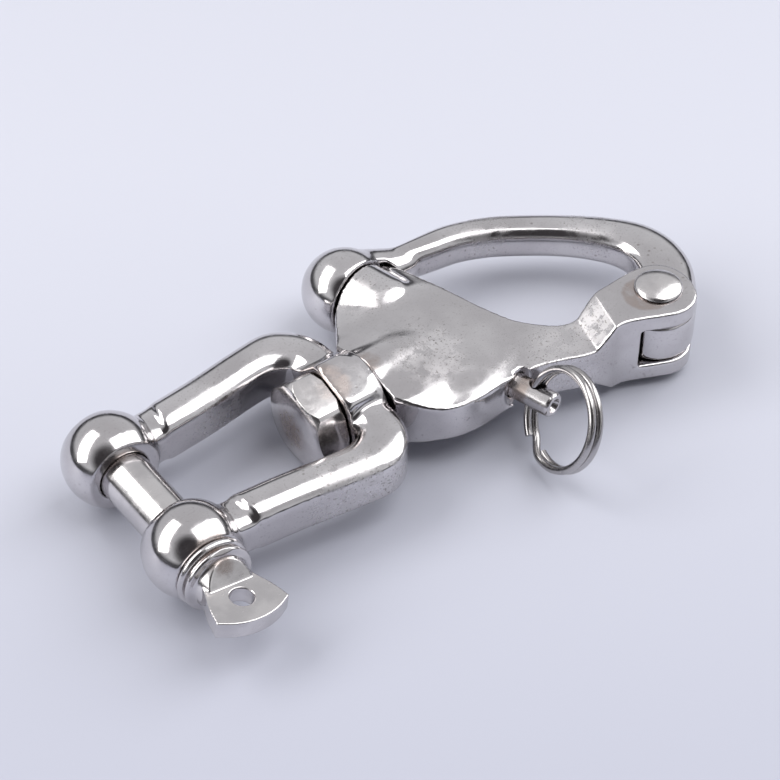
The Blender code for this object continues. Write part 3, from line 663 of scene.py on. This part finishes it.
# %% The rivet and the plunger
dome = [(r / 4, 0.27 + math.sqrt(9.4**2 - (r / 4) ** 2)) for r in range(0, 18)]
upper = dome + [(4.5, 8.42), (4.6, 8.2), (4.4, 8.0), (3.0, 8.0)]
rivet = lathe("rivet_turned", upper + [(r, -h) for r, h in reversed(upper)], RIVET, Z)
done(rivet, "body", "bright_steel", "bow_rivet", sharp=50)

TAIL = LATCH_LENGTH + 7.3
PLUNGER_PROFILE = [
    (0, TAIL - 1.5),
    (0.8, TAIL - 1.4),
    (1.2, TAIL - 0.8),
    (1.45, TAIL - 0.05),
    (1.8, TAIL),
    (2.15, TAIL - 0.08),
    (2.4, TAIL - 0.4),
    (2.45, TAIL - 0.8),
    (2.45, 2.8),
    (3.1, 2.8),
    (3.1, 1.2),
    (2.45, 1.2),
    (2.45, -3.1),
    (1.95, -3.6),
    (0, -3.6),
]
plunger = lathe("plunger_turned", PLUNGER_PROFILE, SOCKET, PULL, 64)
RING_TILT = math.radians(25)
SWING_AXIS = SIDE * math.sin(RING_TILT) + Z * math.cos(RING_TILT)
RING_PIVOT = SOCKET + PULL * (LATCH_LENGTH + 2.8) * MM
cut(plunger, rod("cross hole", RING_PIVOT - SWING_AXIS * 5 * MM, SWING_AXIS, 10, 1.75, 48))
change(plunger, "BEVEL", width=0.08 * MM, segments=2, limit_method="ANGLE", angle_limit=math.radians(35))
done(plunger, "plunger", "bright_steel", "plunger", sharp=40)

# %% The split ring
RING_RADIUS = 9.16
WIRE = 0.75
SWING = math.radians(-22)
OUTWARD = PULL * math.cos(SWING) + SWING_AXIS.cross(PULL).normalized() * math.sin(SWING)
RING_NORMAL = OUTWARD.cross(SWING_AXIS).normalized()
RING_CENTRE = RING_PIVOT + OUTWARD * RING_RADIUS * MM
PER_TURN = 96
STEPS = 2 * PER_TURN - 6
bpy.ops.curve.primitive_nurbs_path_add()
ring = bpy.context.object
ring.data.splines.clear()
wire = ring.data.splines.new("POLY")
wire.points.add(STEPS)
for i, point in enumerate(wire.points):
    angle = 2 * math.pi * i / PER_TURN + math.radians(250)
    share = min(max((i / PER_TURN - 0.93) / 0.1, 0.0), 1.0)
    lay = 1.62 * (share * share * (3 - 2 * share) - 0.5)
    out = OUTWARD * math.cos(angle) + SWING_AXIS * math.sin(angle)
    point.co = (*(RING_CENTRE + (out * RING_RADIUS + RING_NORMAL * lay) * MM), 1.0)
ring.data.bevel_depth = WIRE * MM
ring.data.bevel_resolution = 5
ring.data.use_fill_caps = True
bpy.ops.object.select_all(action="DESELECT")
only(ring)
bpy.ops.object.convert(target="MESH")
ring = named("split_ring_wire")
face_out(ring)
done(ring, "ring", "wire_steel", "split_ring", sharp=50)

# %% [markdown]
# ## Writing a finish
# A finish is a tree of nodes. Two small classes make it readable: one wraps a value on its way through the
# tree, so that sums and products are written as sums and products, and the other makes any node in one
# call. All patterns read Object coordinates, which are metres here, so a noise of scale 1000 has grains of
# about one millimetre.


# %% Writing a finish
class Value:
    """A socket's value. Arithmetic on it adds Math nodes."""

    def __init__(self, finish, socket):
        self.finish = finish
        self.socket = socket

    def _with(self, operation, first, second):
        return self.finish.node("Math", {"operation": operation}, {0: first, 1: second})

    def __add__(self, other):
        return self._with("ADD", self, other)

    def __radd__(self, other):
        return self._with("ADD", other, self)

    def __sub__(self, other):
        return self._with("SUBTRACT", self, other)

    def __rsub__(self, other):
        return self._with("SUBTRACT", other, self)

    def __mul__(self, other):
        return self._with("MULTIPLY", self, other)

    def __rmul__(self, other):
        return self._with("MULTIPLY", other, self)


class Finish:
    """A material with one Principled shader."""

    def __init__(self, name, constants):
        self.material = bpy.data.materials.new(name)
        self.material.use_nodes = True
        self.tree = self.material.node_tree
        self.shader = self.tree.nodes["Principled BSDF"]
        for socket, value in constants.items():
            self.shader.inputs[socket].default_value = value
        self.place = self.node("TexCoord", {}, {}, "Object")

    def put(self, socket, value):
        if isinstance(value, Value):
            self.tree.links.new(value.socket, socket)
        else:
            socket.default_value = value

    def node(self, kind, settings, sockets, output=0):
        node = self.tree.nodes.new("ShaderNode" + kind)
        for name, value in settings.items():
            setattr(node, name, value)
        for name, value in sockets.items():
            self.put(node.inputs[name], value)
        return Value(self, node.outputs[output])

    def noise(self, scale, detail=3.0, place=None, roughness=0.5):
        where = place or self.place
        sockets = {"Vector": where, "Scale": scale, "Detail": detail, "Roughness": roughness}
        return self.node("TexNoise", {}, sockets)

    def between(self, value, low, high, out_low=0.0, out_high=1.0):
        """Turns the range low to high into out_low to out_high, with soft ends."""
        sockets = {0: value, 1: low, 2: high, 3: out_low, 4: out_high}
        return self.node("MapRange", {"interpolation_type": "SMOOTHSTEP"}, sockets)

    def mix(self, share, first, second):
        settings = {"data_type": "RGBA"}
        return self.node("Mix", settings, {0: share, 6: first, 7: second}, 2)

    def near(self, spot, inner, outer):
        """1 within inner mm of a spot and 0 beyond outer mm."""
        away = self.node("VectorMath", {"operation": "DISTANCE"}, {0: self.place, 1: spot}, "Value")
        return self.between(away, inner * MM, outer * MM, 1.0, 0.0)

    def stretched(self, scale, turn=(0.0, 0.0, 0.0)):
        """Coordinates stretched along one direction, for scratches and tool lines."""
        return self.node("Mapping", {}, {"Vector": self.place, "Scale": scale, "Rotation": turn})

    def stain_and_shade_patches(self, spots, noise):
        """A sum of round patches, broken up by noise. Each is (place, inner mm, outer mm). They make the brown
        patches where parts meet: partly tea staining, partly painted shade.
        """
        total = 0.0
        for spot, inner, outer in spots:
            total = total + self.near(spot, inner, outer)
        return total * noise

    def set(self, **links):
        for name, value in links.items():
            self.put(self.shader.inputs[name.replace("_", " ")], value)
        return self.material

    def bump(self, height, distance, strength):
        return self.node("Bump", {}, {"Height": height, "Distance": distance * MM, "Strength": strength})


# %% [markdown]
# ## Polished cast steel
# The castings are tumbled and polished, so they reflect like a mirror that isn't quite flat. Three things
# break the mirror: a slow waviness from the polishing wheel, fine pits where the cast skin was porous, and
# patches that the wheel didn't reach, which stay dull and grainy. Brown patches sit in the corners where parts
# meet: partly tea staining, partly painted shade.


# %% Polished cast steel
def cast_steel(name, dull_spots, stain_and_shade_spots):
    """Both lists hold round patches: a place, and the mm from it where the patch starts to fade and ends. The
    second list marks where parts meet, for brown tea staining and painted shade.
    """
    steel = Finish(name, {"Metallic": 1.0})
    tone = steel.noise(70, 4)
    mottle = steel.noise(420, 5, roughness=0.6)
    pit_field = steel.node(
        "TexVoronoi", {"feature": "F1"}, {"Vector": steel.place, "Scale": 620.0, "Randomness": 1.0}, "Distance"
    )
    pit_places = steel.between(steel.noise(150, 2), 0.50, 0.66)
    pits = steel.between(pit_field, 0.10, 0.22, 1.0, 0.0) * pit_places
    dull = pit_places * 0.25
    for spot, inner, outer in dull_spots:
        dull = dull + steel.near(spot, inner, outer) * steel.between(mottle, 0.3, 0.55)
    # Brown patches where parts meet: partly tea staining, partly painted shade in the joints.
    stain_and_shade = steel.between(steel.stain_and_shade_patches(stain_and_shade_spots, 0.2 + mottle), 0.3, 0.8)
    colour = steel.mix(steel.between(tone, 0.35, 0.65), (0.55, 0.53, 0.535, 1), (0.67, 0.65, 0.655, 1))
    speck = steel.noise(2600, 2)
    colour = steel.mix(steel.between(speck, 0.58, 0.74) * (0.25 + dull), colour, (0.30, 0.28, 0.27, 1))
    colour = steel.mix(pits * 0.5, colour, (0.22, 0.19, 0.17, 1))
    # The brown tint darkens those joints: painted shade together with tea staining.
    colour = steel.mix(stain_and_shade * 0.5, colour, (0.30, 0.21, 0.16, 1))
    roughness = 0.07 + 0.09 * steel.between(mottle, 0.3, 0.7) + dull * 0.20 + stain_and_shade * 0.12
    wave = steel.noise(130, 2)
    grain = steel.noise(1900, 4, roughness=0.7)
    height = wave + mottle * 0.12 + grain * (0.03 + dull * 0.06) - pits * 0.16
    return steel.set(Base_Color=colour, Roughness=roughness, Normal=steel.bump(height, 0.12, 0.5))


body_finish = cast_steel(
    "polished cast body",
    [
        (at(58, -3, 7), 5.0, 11.0),
        (at(88, -15, 6), 2.5, 5.5),
        (at(58, 16, 6), 3.0, 7.0),
        (at(80, -17, 3), 4.0, 12.0),
    ],
    # Brown patches where parts meet: partly tea staining, partly painted shade.
    [
        (at(69.9, -17.2, 0), 3.0, 5.4),
        (at(46.5, 0, 5), 2.0, 6.0),
        (at(99, -17, 8), 4.0, 5.6),
        (at(58, 21, 2), 2.0, 5.0),
    ],
)
# For the bow and the jaw too, the last list marks painted shade and tea staining where parts meet.
bow_finish = cast_steel(
    "polished forged bow", [(at(90, 20, 4), 3.0, 9.0), (at(108, 8, 4), 3.0, 8.0)], [(at(61, 21, 3), 2.0, 4.6)]
)
jaw_finish = cast_steel(
    "polished cast jaw",
    [(at(28, -19, -1), 4.0, 12.0), (at(36, -20, 0), 3.0, 9.0), (at(22, 12, 0), 3.0, 9.0)],
    [(at(36.4, 0, 2), 7.5, 9.6), (at(0, -19.6, 3), 4.0, 6.4), (at(0, 7.5, 2), 3.5, 5.6)],
)

# %% [markdown]
# ## Turned and ground steel
# The bolt, the pin, the rivet and the plunger come from bar. Their skin is finer than a casting's, with
# short scratches and faint tool lines. Noise that is stretched along one direction makes both. The ring and
# the spring are of the same steel as drawn wire, which is duller.


# %% Turned and ground steel
def turned_steel(name, roughness, lines, stain_and_shade_spots=(), shade=1.0):
    steel = Finish(name, {"Metallic": 1.0})
    tone = steel.noise(160, 4)
    mottle = steel.noise(900, 4, roughness=0.65)
    turn = (math.radians(18), math.radians(9), math.radians(31))
    scratch_place = steel.stretched((160.0, 3200.0, 3200.0), turn)
    scratches = steel.between(steel.noise(1.0, 3, scratch_place, 0.6), 0.60, 0.72)
    tool_lines = steel.noise(1.0, 2, steel.stretched(lines), 0.6)
    # Brown patches where parts meet: partly tea staining, partly painted shade.
    stain_and_shade = steel.between(steel.stain_and_shade_patches(stain_and_shade_spots, 0.35 + mottle), 0.15, 0.75)
    dark = (0.57 * shade, 0.55 * shade, 0.55 * shade, 1)
    pale = (0.69 * shade, 0.665 * shade, 0.66 * shade, 1)
    colour = steel.mix(steel.between(tone, 0.35, 0.65), dark, pale)
    colour = steel.mix(stain_and_shade * 0.6, colour, (0.24, 0.16, 0.12, 1))
    rough = roughness + 0.10 * steel.between(mottle, 0.35, 0.7) + scratches * 0.10 + stain_and_shade * 0.1
    height = tool_lines * 0.5 + mottle * 0.2 - scratches * 0.4
    return steel.set(Base_Color=colour, Roughness=rough, Normal=steel.bump(height, 0.008, 0.6))


# The listed spots are brown patches where parts meet: partly tea staining, partly painted shade.
bolt_finish = turned_steel("ground bolt", 0.14, (900.0, 120.0, 120.0), [(at(37, 0, 0), 6.5, 9.4)])
pin_finish = turned_steel("turned pin", 0.13, (200.0, 2600.0, 200.0), [(at(0, -20.6, 3), 2.0, 4.6)])
rivet_finish = turned_steel("rivet steel", 0.15, (300.0, 300.0, 300.0))
plunger_finish = turned_steel("plunger steel", 0.16, (200.0, 2600.0, 200.0), [(at(70, -17.4, 0), 2.0, 3.6)])
wire_finish = turned_steel("spring wire", 0.17, (500.0, 500.0, 500.0), shade=0.72)

for piece, finish in (
    (body, body_finish),
    (bow, bow_finish),
    (jaw, jaw_finish),
    (head, bolt_finish),
    (pin, pin_finish),
    (rivet, rivet_finish),
    (plunger, plunger_finish),
    (ring, wire_finish),
    (frame["nodes"]["plunger_spring"], wire_finish),
):
    piece.data.materials.clear()
    piece.data.materials.append(finish)
print("finishes:", len(bpy.data.materials))

# %% [markdown]
# ## The table, the lights and the camera
# Polished steel shows the room and little else. Here it is a pale table under two large soft panels, one to
# the left and one to the right, in a pale room with a dark band near its floor and a darker opening behind
# the camera. The panels make the bright patches with clear edges, and the dark parts make the lines beside
# them. A panel can be placed from the patch it makes on a ball, since a ball reflects each direction once.

# %% The table
table_finish = Finish("pale table", {"Roughness": 0.55, "Specular IOR Level": 0.3})
# The table is painted lighter away from the camera and darker towards it: painted light falloff, with a little
# random tone.
AWAY = (0.6, 0.8, 0)
depth = table_finish.node("VectorMath", {"operation": "DOT_PRODUCT"}, {0: table_finish.place, 1: AWAY}, "Value")
far = table_finish.between(depth, -0.16, 0.10) + 0.06 * table_finish.noise(6, 2)
table_finish.set(Base_Color=table_finish.mix(far, (0.455, 0.467, 0.55, 1), (0.575, 0.585, 0.655, 1)))
bpy.ops.mesh.primitive_circle_add(vertices=128, radius=4.0, fill_type="NGON", location=(0, 0, 0))
table = named("table")
table.data.materials.append(table_finish.material)

# %% The camera
AZIMUTH, ELEVATION, DISTANCE = math.radians(-36.8), math.radians(44.4), 0.4015
LEVEL = math.cos(ELEVATION)
BACK = Vector((math.sin(AZIMUTH) * LEVEL, -math.cos(AZIMUTH) * LEVEL, math.sin(ELEVATION)))
AIM = at(50.126, -2.652, 0.23)
bpy.ops.object.camera_add(location=AIM + BACK * DISTANCE, rotation=(-BACK).to_track_quat("-Z", "Y").to_euler())
camera = bpy.context.object
camera.data.lens = 101.35
camera.data.sensor_width = 36
camera.data.clip_start = 0.01
bpy.context.scene.camera = camera
print("camera at", [round(v, 4) for v in camera.location])


# %% The lights
def panel(name, direction, distance, width, height, roll, watts, tint):
    """A soft rectangular light that faces the shackle."""
    towards = Vector(direction).normalized()
    turn = (-towards).to_track_quat("-Z", "Y") @ Quaternion((0, 0, 1), math.radians(roll))
    bpy.ops.object.light_add(type="AREA", location=AIM + towards * distance, rotation=turn.to_euler())
    lamp = bpy.context.object
    lamp.name = name
    lamp.data.shape = "RECTANGLE"
    lamp.data.size, lamp.data.size_y = width, height
    lamp.data.energy = watts
    lamp.data.color = tint
    print(f"{name}: {watts} W")


panel("left panel", (-0.63, 0.45, 0.63), 0.75, 0.36, 0.90, 48, 4.2, (1.0, 0.99, 0.98))
panel("right panel", (0.60, -0.20, 0.78), 0.75, 0.50, 1.10, 26, 4.6, (0.99, 0.99, 1.0))

# %% The room
room = bpy.data.worlds.new("pale room")
room.use_nodes = True
bpy.context.scene.world = room
nodes, links = room.node_tree.nodes, room.node_tree.links
direction = nodes.new("ShaderNodeTexCoord").outputs["Generated"]
split = nodes.new("ShaderNodeSeparateXYZ")
links.new(direction, split.inputs[0])
height_ramp = nodes.new("ShaderNodeValToRGB")
links.new(split.outputs["Z"], height_ramp.inputs[0])
stops = height_ramp.color_ramp.elements
stops[0].position, stops[0].color = 0.14, (0.10, 0.10, 0.11, 1)  # the dark band
stops[1].position, stops[1].color = 1.0, (0.80, 0.80, 0.825, 1)  # overhead
stops.new(0.27).color = (0.84, 0.85, 0.88, 1)  # the walls
opening = nodes.new("ShaderNodeVectorMath")
opening.operation = "DOT_PRODUCT"
links.new(direction, opening.inputs[0])
opening.inputs[1].default_value = BACK
opening_edge = nodes.new("ShaderNodeMapRange")
opening_edge.interpolation_type = "SMOOTHSTEP"
links.new(opening.outputs["Value"], opening_edge.inputs[0])
opening_edge.inputs[1].default_value = math.cos(math.radians(44))
opening_edge.inputs[2].default_value = math.cos(math.radians(22))
walls = nodes.new("ShaderNodeMix")
walls.data_type = "RGBA"
links.new(opening_edge.outputs[0], walls.inputs[0])
links.new(height_ramp.outputs[0], walls.inputs[6])
walls.inputs[7].default_value = (0.07, 0.065, 0.07, 1)
background = nodes["Background"]
links.new(walls.outputs[2], background.inputs["Color"])
background.inputs["Strength"].default_value = 0.85

bpy.context.scene.view_settings.view_transform = "Standard"
bpy.context.scene.view_settings.look = "None"
